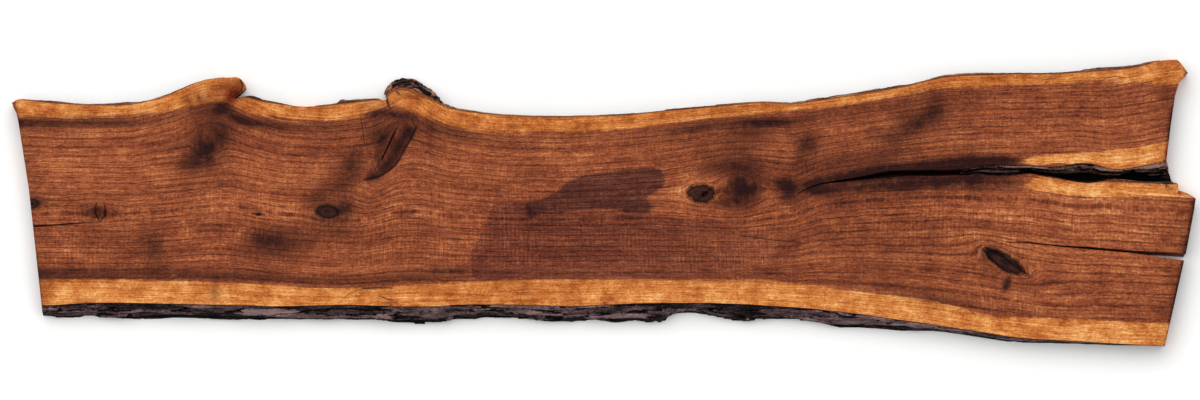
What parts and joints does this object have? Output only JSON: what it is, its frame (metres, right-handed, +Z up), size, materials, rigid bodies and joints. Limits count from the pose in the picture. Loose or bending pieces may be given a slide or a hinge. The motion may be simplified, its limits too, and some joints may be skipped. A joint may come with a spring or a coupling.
{
  "type": "live-edge wood slab",
  "caption": "Long live-edge walnut slab sawn through a fork, with drying checks, knots and strips of bark left on both natural edges.",
  "frame": {"origin": "centre of the bounding box's underside, on the surface that the slab rests on", "axes": "+X along the grain to the forked end, +Y to the back live edge, +Z up out of the top face"},
  "size_m": [2.44, 0.6002, 0.052],
  "materials": {
    "wood": "rough-sawn walnut, oiled look, with pale sapwood along both live edges",
    "bark": "dry furrowed walnut bark, purple grey",
    "bark_inclusion": "dark ingrown bark"
  },
  "bodies": {
    "root": {"wood": "wood", "bark_front": "bark", "bark_back_right": "bark", "bark_back_middle": "bark", "bark_back_behind_spur": "bark", "bark_back_left": "bark", "bark_inclusion": "bark_inclusion"}
  },
  "joints": []
}
